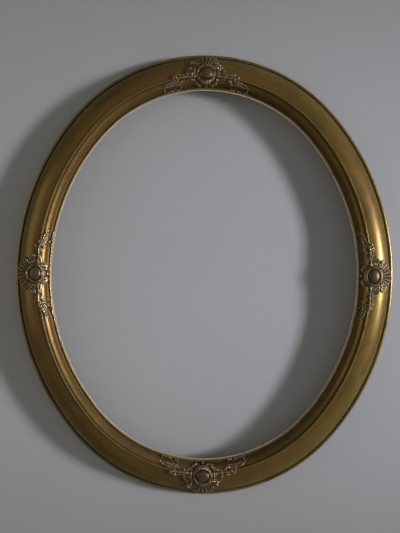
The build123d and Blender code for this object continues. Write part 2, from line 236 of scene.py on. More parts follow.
def makeEdgeWearAndShade():  # wear where the rounded normal leaves the true one, painted shade from ambient occlusion where the surface is shut in
    group, given, end = newGroup("edgeWear", "ShaderNodeTree", {
        "Edge Width": 0.0007, "Corner Reach": 0.003, "Break Up Scale": 500.0,
    }, {"Wear": "NodeSocketFloat", "Dirt": "NodeSocketFloat"})
    place, samples = put(group, "ShaderNodeTexCoord").outputs["Object"], wearAndShadePattern["samples"]
    ragged = ramp(group, noise(group, place, given["Break Up Scale"], 4.0), *wearAndShadePattern["ragged"])
    rounded = put(group, "ShaderNodeBevel", {"Radius": given["Edge Width"]}, samples=samples).outputs["Normal"]
    true = put(group, "ShaderNodeNewGeometry").outputs["Normal"]
    alike = put(group, "ShaderNodeVectorMath", {0: rounded, 1: true}, operation="DOT_PRODUCT").outputs["Value"]
    shade = put(group, "ShaderNodeAmbientOcclusion", {"Distance": given["Corner Reach"]}, samples=samples)
    feed(group, end, {
        "Wear": reckon(group, "MULTIPLY", ramp(group, alike, *wearAndShadePattern["rounding"]), ragged),
        # the second output is painted shade: dark where ambient occlusion finds the surface shut in
        "Dirt": reckon(group, "MULTIPLY", ramp(group, shade.outputs["AO"], *wearAndShadePattern["shutIn"]), ragged),
    })
    return group


def makeWoodGrain():  # long grain with pores, along the vector's first axis
    group, given, end = newGroup("woodGrain", "ShaderNodeTree", {
        "Vector": "NodeSocketVector", "Light": (0.3, 0.19, 0.1, 1), "Dark": (0.12, 0.07, 0.035, 1),
        "Scale": 120.0,
    }, {"Color": "NodeSocketColor", "Height": "NodeSocketFloat"})
    place = stretched(group, given["Vector"], grainPattern["stretch"])
    grain = noise(group, place, given["Scale"], 6.0, 0.7, 0.3)
    pores = noise(group, place, reckon(group, "MULTIPLY", given["Scale"], grainPattern["poreScale"]), 2.0)
    feed(group, end, {
        "Color": blend(group, ramp(group, grain, *grainPattern["tones"]), given["Dark"], given["Light"]),
        "Height": reckon(group, "MULTIPLY_ADD", pores, grainPattern["poreHeight"], grain),
    })
    return group


def makeDust():  # grey dust that settles where the surface looks up
    group, given, end = newGroup("dust", "ShaderNodeTree", {
        "Color": (0.0, 0.0, 0.0, 1.0), "Dust": (0.30, 0.28, 0.25, 1), "Amount": 0.3, "Scale": 60.0,
    }, {"Color": "NodeSocketColor", "Mask": "NodeSocketFloat"})
    normal = put(group, "ShaderNodeNewGeometry").outputs["Normal"]
    upward = put(group, "ShaderNodeSeparateXYZ", {"Vector": normal}).outputs["Z"]
    place = put(group, "ShaderNodeTexCoord").outputs["Object"]
    patches = ramp(group, noise(group, place, given["Scale"], 5.0), *dustPattern["patches"])
    settled = reckon(group, "MULTIPLY", ramp(group, upward, *dustPattern["upward"]), patches)
    mask = reckon(group, "MULTIPLY", settled, given["Amount"])
    feed(group, end, {"Color": blend(group, mask, given["Color"], given["Dust"]), "Mask": mask})
    return group


agedLeaf = makeAgedLeaf()
edgeWear = makeEdgeWearAndShade()
woodGrain = makeWoodGrain()
dust = makeDust()
print("shader groups made")


# Moulding: its section, softened at the corners, is swept along each rail's arc

def arcThrough(first, middle, last, steps):  # points from first to last on the circle through middle
    ax, ay = first
    bx, by = middle
    cx, cy = last
    d = 2 * (ax * (by - cy) + bx * (cy - ay) + cx * (ay - by))
    a2, b2, c2 = ax * ax + ay * ay, bx * bx + by * by, cx * cx + cy * cy
    ox = (a2 * (by - cy) + b2 * (cy - ay) + c2 * (ay - by)) / d
    oy = (a2 * (cx - bx) + b2 * (ax - cx) + c2 * (bx - ax)) / d
    radius = math.hypot(ax - ox, ay - oy)
    start = math.atan2(ay - oy, ax - ox)
    turn = [(math.atan2(y - oy, x - ox) - start) % math.tau for x, y in (middle, last)]
    sweep = turn[1] if turn[0] < turn[1] else turn[1] - math.tau
    return arcAround((ox, oy), radius, start, start + sweep, steps)


def arcAround(centre, radius, start, end, steps):
    angles = [start + (end - start) * k / steps for k in range(steps + 1)]
    return [(centre[0] + radius * math.cos(a), centre[1] + radius * math.sin(a)) for a in angles]


def bulged(first, last, rise):  # middle of a shallow arc that stands out of its chord by rise
    run = Vector(last) - Vector(first)
    return tuple((Vector(first) + Vector(last)) / 2 + rise * Vector((-run.y, run.x)).normalized())


def faceSection():  # the gilded face, from the outer edge to the sight edge: width, height
    side, bead, shoulder = m["sideHeight"], m["bead"], m["swellShoulder"]
    shoulderCentre = (swellStart + shoulder, springHeight)
    flatRadius = ((swellEnd - shoulderCentre[0])**2 + m["swellRise"]**2 - shoulder**2) \
        / (2 * (m["swellRise"] - shoulder))
    flatCentre = (swellEnd, swellTop - flatRadius)
    meet = math.atan2(shoulderCentre[1] - flatCentre[1], shoulderCentre[0] - flatCentre[0])
    points = arcThrough((0, side), (bead / 2, side + bead / 2), (bead, side), m["beadSteps"])
    points += [(bead, quirkHeight), (swellStart, quirkHeight)]
    points += arcAround(shoulderCentre, shoulder, math.pi, meet, m["arcSteps"])
    points += arcAround(flatCentre, flatRadius, meet, math.pi / 2, m["arcSteps"])[1:]
    points += [(swellEnd, ridgeTop), (ridgeEnd, ridgeTop), (ridgeEnd, grooveFloor)]
    # the band's arc runs straight on into the hollow's, without the solids' small fillet
    groove, slope, hollow = (grooveEnd, grooveFloor), (slopeEnd, slopeFoot), (hollowEnd, hollowHeight)
    points += arcThrough(groove, bulged(groove, slope, m["slopeBelly"]), slope, m["slopeSteps"])
    points += arcThrough(slope, bulged(slope, hollow, -m["hollowSink"]), hollow, m["hollowSteps"])[1:]
    crown = (hollowEnd + m["sightBead"] / 2, hollowHeight + m["sightBeadRise"])
    points += arcThrough(hollow, crown, (faceWidth, hollowHeight), m["sightSteps"])[1:]
    return points


bareFace = np.array(faceSection())
bareFace[:, 0] += np.arange(len(bareFace)) * 1e-6  # keeps the upright steps in order


def sectionHeight(width):  # height of the bare face at any width
    return np.interp(width, bareFace[:, 0], bareFace[:, 1])


softening = {"sharpFrom": 22, "cutShare": 0.35, "holdBeyond": 6, "holdAt": 2.2}


def softened(corners, softness):  # closed outline with small rounds, held by points beside them
    points = []
    for k, (x, y) in enumerate(corners):
        here = Vector((x, y))
        back = Vector(corners[k - 1]) - here
        ahead = Vector(corners[(k + 1) % len(corners)]) - here
        if back.angle(-ahead) < math.radians(softening["sharpFrom"]):
            points.append((x, y))
            continue
        cut = min(softness, softening["cutShare"] * back.length, softening["cutShare"] * ahead.length)
        enter, leave = here + back.normalized() * cut, here + ahead.normalized() * cut
        if back.length > softening["holdBeyond"] * cut:
            points.append(tuple(here + back.normalized() * softening["holdAt"] * cut))
        points += [tuple(enter), tuple(enter * 0.25 + here * 0.5 + leave * 0.25), tuple(leave)]
        if ahead.length > softening["holdBeyond"] * cut:
            points.append(tuple(here + ahead.normalized() * softening["holdAt"] * cut))
    return points


# Where the finish changes over the section, in mm: middle, reach and strength of each band. Crest bands get the
# light rubbed colour, wear and painted highlight; hollow bands the dark colour, grime and painted shade
leafBands = {
    "crest": ((m["bead"] / 2, 2.6, 0.8), ((swellEnd + ridgeEnd) / 2, 1.5, 1),
              (hollowEnd + m["sightBead"] / 2, 1.8, 1.2)),
    "hollow": (((ridgeEnd + grooveEnd) / 2 - 0.4, 1.4, 0.65), ((slopeEnd + hollowEnd) / 2 + 0.6, 3.0, 0.85)),
}
leafEdge = {"sightDrop": 6, "faceDepth": 1.5, "sideShare": 0.35, "sideDepth": 0.6, "sideTop": 7.5}


def isGilt(u, h):  # the leaf covers the face and turns down its two edges
    inner = faceWidth - m["lip"] + 1
    if u > inner:
        return h > hollowHeight - leafEdge["sightDrop"]
    if 1 < u < inner:
        return h >= sectionHeight(u) - leafEdge["faceDepth"]
    onSide = u < leafEdge["sideDepth"] or h > leafEdge["sideTop"]
    return onSide and h > m["sideHeight"] * leafEdge["sideShare"]


def bandStrength(u, bands):
    return min(1, max(strength * max(0, 1 - abs(u - middle) / reach) for middle, reach, strength in bands))


def storeValues(mesh, name, values):
    mesh.attributes.new(name, "FLOAT", "POINT").data.foreach_set("value", np.array(values, np.float32))


def makeSectionMesh():
    ledge = m["recess"] + m["rebate"]
    inner = faceWidth - m["lip"]
    back = [(faceWidth, ledge), (inner, ledge), (inner, m["recess"]), (m["rim"], m["recess"]), (m["rim"], 0),
            (0, 0)]
    outline = softened(faceSection() + back, m["edgeSoftness"])
    mesh = bpy.data.meshes.new("mouldingSection")
    mesh.from_pydata([(-u * mm, -h * mm, 0) for u, h in outline],
                     [(k, (k + 1) % len(outline)) for k in range(len(outline))], [])
    storeValues(mesh, "gilt", [isGilt(u, h) for u, h in outline])
    for name, bands in leafBands.items():
        storeValues(mesh, name, [bandStrength(u, bands) if isGilt(u, h) else 0 for u, h in outline])
    storeValues(mesh, "across", [u * mm for u, h in outline])
    return mesh


def makeSweepTree():
    tree, given, end = newGroup("sweepMoulding", "GeometryNodeTree", {
        "Geometry": "NodeSocketGeometry", "Centre": "NodeSocketVector", "Arc Radius": 0.3, "Start Angle": 0.0,
        "Sweep Angle": 1.0, "Steps": 150, "Along Start": 0.0, "Material": "NodeSocketMaterial",
    }, {"Geometry": "NodeSocketGeometry"})
    section = put(tree, "GeometryNodeMeshToCurve", {"Mesh": given["Geometry"]}).outputs["Curve"]
    limb = put(tree, "GeometryNodeCurveArc", {
        "Resolution": given["Steps"], "Radius": given["Arc Radius"],
        "Start Angle": given["Start Angle"], "Sweep Angle": given["Sweep Angle"],
    }, mode="RADIUS").outputs["Curve"]
    length = put(tree, "GeometryNodeSplineParameter").outputs["Length"]
    measured = put(tree, "GeometryNodeStoreNamedAttribute", {
        "Geometry": limb, "Name": "along", "Value": reckon(tree, "ADD", length, given["Along Start"]),
    }, data_type="FLOAT", domain="POINT").outputs["Geometry"]
    swept = put(tree, "GeometryNodeCurveToMesh", {
        "Curve": measured, "Profile Curve": section, "Fill Caps": True}).outputs["Mesh"]
    placed = put(tree, "GeometryNodeTransform", {
        "Geometry": swept, "Translation": given["Centre"], "Rotation": (math.pi / 2, 0, 0)}).outputs["Geometry"]
    corners = put(tree, "GeometryNodeInputMeshFaceNeighbors").outputs["Vertex Count"]
    fourSided = put(tree, "FunctionNodeCompare", {2: corners, 3: 5}, data_type="INT", operation="LESS_THAN")
    smooth = put(tree, "GeometryNodeSetShadeSmooth", {
        "Geometry": placed, "Shade Smooth": fourSided.outputs["Result"]}, domain="FACE").outputs["Geometry"]
    real = put(tree, "GeometryNodeRealizeInstances", {"Geometry": smooth}).outputs["Geometry"]
    finished = put(tree, "GeometryNodeSetMaterial", {"Geometry": real, "Material": given["Material"]})
    feed(tree, end, {"Geometry": finished.outputs["Geometry"]})
    return tree


def newMaterial(name):  # with its tree, its Principled shader and Object coordinates
    material = bpy.data.materials.new(name)
    material.use_nodes = True
    tree = material.node_tree
    return material, tree, tree.nodes["Principled BSDF"], put(tree, "ShaderNodeTexCoord").outputs["Object"]


def dustOver(tree, color, amount):
    return put(tree, "ShaderNodeGroup", {"Color": color, "Amount": amount}, node_tree=dust).outputs


def bumped(tree, height, strength, distance):
    bump = put(tree, "ShaderNodeBump", {"Height": height, "Strength": strength, "Distance": distance})
    return bump.outputs["Normal"]


# the dark hollow colour is grime and painted shade; the light crest colour is wear and painted highlight
gilding = {
    "leaf": (0.205, 0.122, 0.028, 1), "shade": (0.130, 0.090, 0.026, 1), "bole": (0.19, 0.075, 0.036, 1),
    "dirt": (0.062, 0.034, 0.016, 1), "rubbed": (0.46, 0.34, 0.13, 1), "tint": (0.165, 0.084, 0.036, 1),
    "tintAmount": 0.65, "rubFloor": 0.4, "blotchScale": 26, "grainScale": 420, "boleAmount": 0.45,
    "lowRoughness": 0.24, "highRoughness": 0.38, "metallic": 0.42, "crestMetal": 0.5, "specular": 0.10,
    "bump": 0.2, "bumpDepth": 0.0005, "dust": 0.12, "stretch": (0.45, 1.6, 1),
    "olive": (0.198, 0.150, 0.040, 1), "oliveTo": 0.038, "oliveFrom": 0.020, "oliveAmount": 0.8,
    "oliveDrift": 0.012, "driftScale": 14.0,
}
bareWood = {
    "light": (0.20, 0.125, 0.065, 1), "dark": (0.085, 0.05, 0.026, 1), "scale": 160.0, "roughness": 0.72,
    "raggedScale": 90.0, "ragged": 0.35, "border": (0.42, 0.58),
}


def leafNode(tree, finish, vector):
    leaf = put(tree, "ShaderNodeGroup", {
        "Vector": vector, "Crest": readAttribute(tree, "crest"), "Hollow": readAttribute(tree, "hollow"),
    }, node_tree=agedLeaf)
    for label in ("Leaf", "Shade", "Bole", "Dirt", "Rubbed", "Tint", "Tint Amount", "Rub Floor",
                  "Blotch Scale", "Grain Scale", "Bole Amount", "Low Roughness", "High Roughness"):
        leaf.inputs[label].default_value = finish[label[0].lower() + label[1:].replace(" ", "")]
    return leaf


def makeMouldingMaterial():
    material, tree, shader, place = newMaterial("agedGiltMoulding")
    across = readAttribute(tree, "across")
    onFace = put(tree, "ShaderNodeCombineXYZ", {"X": readAttribute(tree, "along"), "Y": across}).outputs["Vector"]
    leaf = leafNode(tree, gilding, stretched(tree, onFace, gilding["stretch"]))

    # the outer part of the swell is more olive, with a drifting border
    drift = noise(tree, onFace, gilding["driftScale"], 4.0)
    drifted = reckon(tree, "MULTIPLY_ADD", drift, gilding["oliveDrift"], across)
    outer = ramp(tree, drifted, gilding["oliveTo"], gilding["oliveFrom"], 0.0, gilding["oliveAmount"])
    feed(tree, leaf, {"Leaf": blend(tree, outer, gilding["leaf"], gilding["olive"])})

    # bare wood where there is no leaf, with a ragged border
    wood = put(tree, "ShaderNodeGroup", {
        "Vector": onFace, "Light": bareWood["light"], "Dark": bareWood["dark"], "Scale": bareWood["scale"],
    }, node_tree=woodGrain).outputs
    border = noise(tree, place, bareWood["raggedScale"], 4.0)
    border = reckon(tree, "MULTIPLY_ADD", border, bareWood["ragged"], -bareWood["ragged"] / 2)
    gilt = ramp(tree, reckon(tree, "ADD", readAttribute(tree, "gilt"), border), *bareWood["border"])

    color = blend(tree, gilt, wood["Color"], leaf.outputs["Color"])
    dusted = dustOver(tree, color, gilding["dust"])
    clean = reckon(tree, "SUBTRACT", gilt, dusted["Mask"], clamp=True)
    metal = reckon(tree, "MULTIPLY", clean, gilding["metallic"])
    height = blend(tree, gilt, wood["Height"], leaf.outputs["Height"], "FLOAT")
    crest = readAttribute(tree, "crest")
    feed(tree, shader, {
        "Base Color": dusted["Color"],
        "Metallic": reckon(tree, "MULTIPLY_ADD", crest, gilding["crestMetal"], metal, clamp=True),
        "Roughness": blend(tree, gilt, bareWood["roughness"], leaf.outputs["Roughness"], "FLOAT"),
        "Specular IOR Level": gilding["specular"],
        "Normal": bumped(tree, height, gilding["bump"], gilding["bumpDepth"]),
    })
    return material


mouldingMaterial = makeMouldingMaterial()
sweepMoulding = makeSweepTree()
sectionMesh = makeSectionMesh()
alongStart = 0
for side, (cx, cz, radius, middle, half) in rails.items():
    piece = newPiece("moulding" + side, sectionMesh.copy())
    modifier = piece.modifiers.new("sweepMoulding", "NODES")
    modifier.node_group = sweepMoulding
    for label, value in {
        "Centre": (cx * mm, 0, cz * mm), "Arc Radius": radius * mm, "Start Angle": math.radians(middle - half),
        "Sweep Angle": math.radians(2 * half), "Steps": m["limbSteps"], "Along Start": alongStart,
        "Material": mouldingMaterial,
    }.items():
        setInput(modifier, label, value)
    settle(piece)
    alongStart += radius * mm * math.radians(2 * half)
    dress(piece, "rail_" + side.lower())
    print("moulding", side, len(piece.data.polygons), "faces")


# Castings: reliefs carved over a grid of (along, across) in mm, then laid on each rail

carving = {
    "step": 0.34, "startBelow": 2.4, "raisedFrom": 1, "gutterWidth": 0.45, "gutterFloor": 0.3, "cloak": 0.35,
    "bridgeSpan": (-8, 70), "bridgeStep": 0.25, "bridgeWidth": 4.4, "bridgeReach": 14,
    "trueLengthAt": 42.0, "beadGutter": 0.4, "leastGutter": 0.02,
    "outerEdge": 1.2, "outerSlope": 2.2, "innerEdge": 59.1, "innerSlope": 3.4,
    "toneWidth": 1.1, "crestFrom": 0.22, "crestSpan": 0.45, "hollowFrom": 0.05, "hollowSpan": 0.5,
    "rimBelow": 1.1, "sunk": 3.4, "backSoftness": 3, "leastThickness": 0.4,
}


def sampled(points, count):  # a smooth path through the points, evenly sampled
    p = np.array(points, float)
    ends = np.vstack([2 * p[0] - p[1], p, 2 * p[-1] - p[-2]])
    path = []
    t = np.linspace(0, 1, max(2, count // (len(p) - 1)), endpoint=False)[:, None]
    for k in range(len(p) - 1):
        a, b, c, d = ends[k:k + 4]
        bend, twist = 2 * a - 5 * b + 4 * c - d, 3 * b - a - 3 * c + d
        path.append(0.5 * (2 * b + (c - a) * t + bend * t**2 + twist * t**3))
    return np.vstack(path + [p[-1:]])


def spiral(centre, start, turns, outer, inner, count=72):  # closes in from outer to inner
    t = np.linspace(0, 1, count)
    radius = outer * (inner / outer) ** t
    angle = np.radians(start) + turns * math.tau * t
    return np.stack([centre[0] + radius * np.cos(angle), centre[1] + radius * np.sin(angle)], 1)


def smoothKernel(width, reach):
    kernel = np.exp(-0.5 * (np.arange(-reach, reach + 1) / width) ** 2)
    return kernel / kernel.sum()


def blurred(field, width):  # soft mean over a width given in grid steps
    reach = int(width * 2.5) + 1
    kernel = smoothKernel(width, reach)
    for axis in (0, 1):
        padded = np.pad(field, [(reach, reach) if k == axis else (0, 0) for k in (0, 1)], mode="edge")
        field = np.apply_along_axis(lambda line: np.convolve(line, kernel, mode="valid"), axis, padded)
    return field


def bridged(across):  # height of the moulding's surface with its groove and hollow bridged a little
    widths = np.arange(*carving["bridgeSpan"], carving["bridgeStep"])
    reach = carving["bridgeReach"]
    padded = np.pad(sectionHeight(widths), reach, mode="edge")
    heights = np.convolve(padded, smoothKernel(carving["bridgeWidth"], reach), mode="valid")
    return np.maximum(np.interp(across, widths, heights), sectionHeight(across)) + carving["cloak"]


def newRelief(field):
    step = carving["step"]
    along = np.arange(field["alongFrom"], field["alongTo"] + step / 2, step)
    across = np.arange(field["acrossFrom"], field["acrossTo"] + step / 2, step)
    along, across = np.meshgrid(along, across, indexing="ij")
    bare = sectionHeight(across)
    return {"along": along, "across": across, "bare": bare, "ground": bridged(across),
            "top": bare - carving["startBelow"]}


def nearPath(relief, path):  # distance from the path and place along it, for every grid point
    alongGrid, acrossGrid = relief["along"], relief["across"]
    lengths = np.hypot(*np.diff(path, axis=0).T)
    total = max(lengths.sum(), 1e-6)
    best = np.full(alongGrid.shape, 1e9)
    where = np.zeros(alongGrid.shape)
    run = 0
    for (x0, y0), (x1, y1), length in zip(path[:-1], path[1:], lengths):
        if length < 1e-9:
            continue
        dx, dy = x1 - x0, y1 - y0
        t = np.clip(((alongGrid - x0) * dx + (acrossGrid - y0) * dy) / length ** 2, 0, 1)
        away = np.hypot(alongGrid - x0 - t * dx, acrossGrid - y0 - t * dy)
        where = np.where(away < best, (run + t * length) / total, where)
        best = np.minimum(best, away)
        run += length
    return best, where


sections = {  # height over a form's width, from its middle (0) to its edge (1)
    "round": lambda s: np.sqrt(1 - s**2),
    "soft": lambda s: (1 - s**2) ** 0.8,
    "leaf": lambda s: (0.62 + 0.38 * s**1.6) * (1 - s**7) - 0.22 * np.exp(-((s / 0.16) ** 2)),
    "dish": lambda s: (0.45 + 0.55 * s**2) * (1 - s**9),
    "flat": lambda s: 1 - s**6,
}


def carve(relief, distance, width, height, section="round", gutter=0.5):  # adds one form over what is there
    s = distance / np.maximum(width, 1e-3)
    top, bare = relief["top"], relief["bare"]
    added = relief["ground"] + height * sections[section](np.minimum(s, 1))
    beside = np.exp(-(((distance - width) / carving["gutterWidth"]) ** 2)) * gutter
    cut = np.minimum(np.maximum(top - beside, bare - carving["gutterFloor"]), top)
    isCut = (beside > carving["leastGutter"]) & (top > bare - carving["raisedFrom"])
    relief["top"] = np.where(s < 1, np.maximum(top, added), np.where(isCut, cut, top))


def strand(relief, path, widths, heights, section="round", gutter=0.5):
    distance, where = nearPath(relief, np.asarray(path, float))
    width = np.interp(where, np.linspace(0, 1, len(widths)), widths)
    height = np.interp(where, np.linspace(0, 1, len(heights)), heights)
    carve(relief, distance, width, height, section, gutter)


def lay(relief, form, hand=1):  # a strand as its settings give it, mirrored by hand
    points, count, widths, heights, section, gutter = form
    strand(relief, sampled([(hand * x, y) for x, y in points], count), widths, heights, section, gutter)


def bead(relief, place, radius, height, stretch=1.0, turn=0.0):
    cosine, sine = math.cos(math.radians(turn)), math.sin(math.radians(turn))
    x = (relief["along"] - place[0]) * cosine + (relief["across"] - place[1]) * sine
    y = -(relief["along"] - place[0]) * sine + (relief["across"] - place[1]) * cosine
    carve(relief, np.hypot(x / stretch, y), radius, height, "round", carving["beadGutter"])


acanthus = {  # shares of the leaf's length, of a lobe's size and of its width and height
    "firstLobe": 0.08, "lobeRun": 0.80, "sizeFrom": 0.22, "sizeRun": 0.66, "sizeCurve": 0.8,
    "lobeMiddle": 0.55, "lobeTip": 0.5, "tipLean": 0.55, "lobeWidths": (0.55, 1, 0.8),
    "lobeHeights": (0.7, 0.95, 0.75), "midribWidths": (0.30, 0.26, 0.16), "midribHeights": (1, 1.1, 0.9),
    "eyeAway": 0.42, "eyeLean": 0.55, "eyeRadius": 0.75, "eyeDepth": 0.9,
    "spineSamples": 60, "lobeSamples": 10, "lookAhead": 0.05, "lobeGutter": 0.7, "midribGutter": 0.6,
}


def drillEye(relief, place):
    away = np.hypot(relief["along"] - place[0], relief["across"] - place[1])
    depth = acanthus["eyeDepth"] * np.exp(-((away / acanthus["eyeRadius"]) ** 2))
    relief["top"] -= np.where(relief["top"] > relief["bare"] - carving["raisedFrom"], depth, 0)


def lobedLeaf(relief, spine, reach, lobes, height, lean, lobeWidth):  # paired lobes, a midrib, drilled eyes
    path = sampled(spine, acanthus["spineSamples"])
    lengths = np.concatenate([[0], np.cumsum(np.hypot(*np.diff(path, axis=0).T))])
    lengths /= lengths[-1]

    def onSpine(t):
        return np.interp(t, lengths, path[:, 0]), np.interp(t, lengths, path[:, 1])

    def away(start, distance, angle):
        return start[0] + distance * math.cos(angle), start[1] + distance * math.sin(angle)

    eyes = []
    for k in range(lobes):
        t = acanthus["firstLobe"] + acanthus["lobeRun"] * k / (lobes - 1)
        swell = math.sin(math.pi * (acanthus["sizeFrom"] + acanthus["sizeRun"] * t))
        size = reach * swell ** acanthus["sizeCurve"]
        root, ahead = onSpine(t), onSpine(min(1, t + acanthus["lookAhead"]))
        heading = math.atan2(ahead[1] - root[1], ahead[0] - root[0])
        for hand in (-1, 1):
            angle = heading + hand * math.radians(lean)
            middle = away(root, acanthus["lobeMiddle"] * size, angle)
            bend = heading + hand * math.radians(lean * acanthus["tipLean"])
            tip = away(middle, acanthus["lobeTip"] * size, bend)
            widths = [size * lobeWidth * share for share in acanthus["lobeWidths"]]
            heights = [height * share for share in acanthus["lobeHeights"]]
            lobe = sampled([root, middle, tip], acanthus["lobeSamples"])
            strand(relief, lobe, widths, heights, "leaf", acanthus["lobeGutter"])
            eyes.append(away(root, acanthus["eyeAway"] * size, angle + hand * acanthus["eyeLean"]))
    widths = [reach * share for share in acanthus["midribWidths"]]
    heights = [height * share for share in acanthus["midribHeights"]]
    strand(relief, path, widths, heights, "leaf", acanthus["midribGutter"])
    for eye in eyes:
        drillEye(relief, eye)


def finishRelief(relief):  # keeps the edges within the moulding and works out crests and hollows
    across, bare = relief["across"], relief["bare"]
    inner = bare + carving["innerSlope"] * (carving["innerEdge"] - across)
    outer = bare + carving["outerSlope"] * (across - carving["outerEdge"])
    relief["top"] = np.minimum(np.minimum(relief["top"], inner), outer)
    shown = np.maximum(relief["top"], bare - carving["leastThickness"])
    # raised points take the light rubbed colour (wear and painted highlight), sunk points the dark colour (grime
    # and painted shade)
    lean = shown - blurred(shown, carving["toneWidth"] / carving["step"])
    relief["crest"] = np.clip((lean - carving["crestFrom"]) / carving["crestSpan"], 0, 1)
    relief["hollow"] = np.clip((-lean - carving["hollowFrom"]) / carving["hollowSpan"], 0, 1)


# Cartouche: a shield with a level field for its boss. A strand's row gives its points, how many samples,
# widths, heights, section and gutter
boss = {
    "middle": 40, "along": 11.4, "across": 9.4, "foot": 36.6, "rise": 5.7, "sunk": 1.0,
    "rings": 18, "segments": 72, "ringBias": 0.85, "fullness": 0.9, "crestFrom": 0.55, "hollowTo": 0.25,
}
shield = {
    "alongFrom": -26.5, "alongTo": 26.5, "acrossFrom": 0.6, "acrossTo": 59.9,
    "fieldHeight": 37.2, "fieldAlong": 14.8, "fieldAcross": 12.9, "fieldSunk": 0.35, "fieldDirt": 0.25,
    "fieldSlope": 1.1, "innerSlope": 3.6, "steepFrom": 44, "steepOver": 12, "fallAt": 58.2, "fallRise": 1.6,
    "bodyMiddle": 39, "bodyAlong": 16.6, "bodyAcross": 17.0, "bodyHeight": 1.1,
    "ringAlong": 13.1, "ringAcross": 11.2, "ringMean": 12.6, "ringWidth": 1.2, "ringHeight": 2.0,
    "ringGutter": 0.7, "ringCrest": 0.35, "ringCrestReach": 0.4,
    "shell": {
        "hub": 36, "ribs": 9, "spread": 108, "start": 9, "reach": 30.5, "sideLoss": 9.5, "lossCurve": 1.7,
        "heights": [1.4, 2.7], "fullness": 0.5, "gutter": 0.55,
        "spineShort": 4, "spineWidths": [0.35, 0.8], "spineHeights": [1.9, 3.0], "spineGutter": 0.2,
    },
    "volute": {
        "eye": (18.5, 22.4), "radius": 7.0, "disc": 6.86, "discHeight": 1.3, "gutter": 0.8,
        "start": 90, "turns": 1.9, "innerRadius": 1.9,
        "widths": [1.45, 1.25, 0.95, 0.8], "heights": [2.5, 2.9, 3.2, 3.4], "eyeBead": (1.7, 4.0),
    },
    "scroll": ([(10.6, 56.0), (14.6, 51.5), (16.4, 44.5), (16.0, 37.5), (14.4, 31.5)], 40,
               [0.9, 2.0, 2.3, 2.1, 1.5], [1.6, 2.6, 3.0, 2.8, 2.2], "dish", 0.9),
    "scrollBeads": {
        "count": 7, "shares": [0, 0.3, 0.65, 1], "along": [16.3, 18.5, 18.7, 16.5], "first": 52.5, "run": 22.0,
        "radius": 1.55, "height": 3.4, "stretch": 1.2, "turn": 62, "turning": 55,
    },
    "feed": ([(13.4, 31.0), (15.6, 30.6), (18.5, 29.4)], 16, [1.2, 1.6, 1.45], [2.2, 2.4, 2.5], "round", 0.5),
    "leaf": ([(9.5, 29.0), (11.5, 23.0), (11.0, 15.5)], 20, [0.8, 1.9, 0.8], [1.5, 3.0, 2.0], "leaf", 0.6),
    "hood": {  # on the outer side of the boss
        "along": 13.6, "across": 13.2, "middle": 39.5, "turn": 0.95, "samples": 24, "gutter": 0.5,
        "widths": [1.0, 1.4, 1.0], "heights": [1.8, 2.4, 1.8],
    },
    "petals": {  # on its inner side
        "count": 5, "turn": 58, "start": (10.5, 8.0), "end": (15.6, 15.4),
        "widths": [1.5, 2.5], "heights": [1.6, 2.2], "gutter": 0.9,
    },
}


def addField(relief):  # level ground for the boss, sloping down to the moulding around it
    along, across = relief["along"], relief["across"]
    fall = np.interp(across, [ridgeEnd, shield["fallAt"], faceWidth],
                     [ridgeTop, hollowHeight + shield["fallRise"], hollowHeight])
    base = np.maximum(relief["ground"], np.where(across > ridgeEnd, fall, 0))
    away = np.hypot(along / shield["fieldAlong"], (across - boss["middle"]) / shield["fieldAcross"])
    outside = np.maximum(0, away - 1) * shield["fieldAcross"]
    steep = np.clip((across - shield["steepFrom"]) / shield["steepOver"], 0, 1)
    slope = shield["fieldSlope"] + shield["innerSlope"] * steep
    relief["ground"] = np.maximum(base, shield["fieldHeight"] - slope * outside)


def carveShell(relief):  # ribs fan out from the hub, the outermost pair first
    shell = shield["shell"]
    ribs, spread = shell["ribs"], shell["spread"]
    pitch = math.radians(spread / (ribs - 1))

    def fromHub(distance, turn):
        return distance * math.sin(turn), shell["hub"] - distance * math.cos(turn)

    for order in sorted(range(ribs), key=lambda k: -abs(k - (ribs - 1) / 2)):
        turn = math.radians(-spread / 2 + spread * order / (ribs - 1))
        reach = shell["reach"] - shell["sideLoss"] * abs(turn) ** shell["lossCurve"]
        start = fromHub(shell["start"], turn)
        widths = [distance * pitch * shell["fullness"] for distance in (shell["start"], reach)]
        strand(relief, [start, fromHub(reach, turn)], widths, shell["heights"], "soft", shell["gutter"])
        spine = [start, fromHub(reach - shell["spineShort"], turn)]
        strand(relief, spine, shell["spineWidths"], shell["spineHeights"], "round", shell["spineGutter"])


def carveScroll(relief, hand):
    volute, beads = shield["volute"], shield["scrollBeads"]
    eye = (hand * volute["eye"][0], volute["eye"][1])
    away = np.hypot(relief["along"] - eye[0], relief["across"] - eye[1])
    carve(relief, away, volute["disc"], volute["discHeight"], "flat", volute["gutter"])
    lay(relief, shield["scroll"], hand)
    for t in np.linspace(0, 1, beads["count"]):
        place = (hand * np.interp(t, beads["shares"], beads["along"]), beads["first"] - beads["run"] * t)
        turn = hand * (beads["turn"] + beads["turning"] * t)
        bead(relief, place, beads["radius"], beads["height"], beads["stretch"], turn)
    path = spiral(eye, volute["start"], hand * volute["turns"], volute["radius"], volute["innerRadius"])
    strand(relief, path, volute["widths"], volute["heights"], "round", volute["gutter"])
    bead(relief, eye, *volute["eyeBead"])
    lay(relief, shield["feed"], hand)
    lay(relief, shield["leaf"], hand)


def carveCollar(relief):
    hood, petals = shield["hood"], shield["petals"]
    path = [(hood["along"] * math.sin(t), hood["middle"] - hood["across"] * math.cos(t))
            for t in np.linspace(-hood["turn"], hood["turn"], hood["samples"])]
    strand(relief, path, hood["widths"], hood["heights"], "round", hood["gutter"])
    for degrees in np.linspace(-petals["turn"], petals["turn"], petals["count"]):
        turn = math.radians(degrees)
        petal = [(along * math.sin(turn), boss["middle"] + across * math.cos(turn))
                 for along, across in (petals["start"], petals["end"])]
        strand(relief, petal, petals["widths"], petals["heights"], "leaf", petals["gutter"])


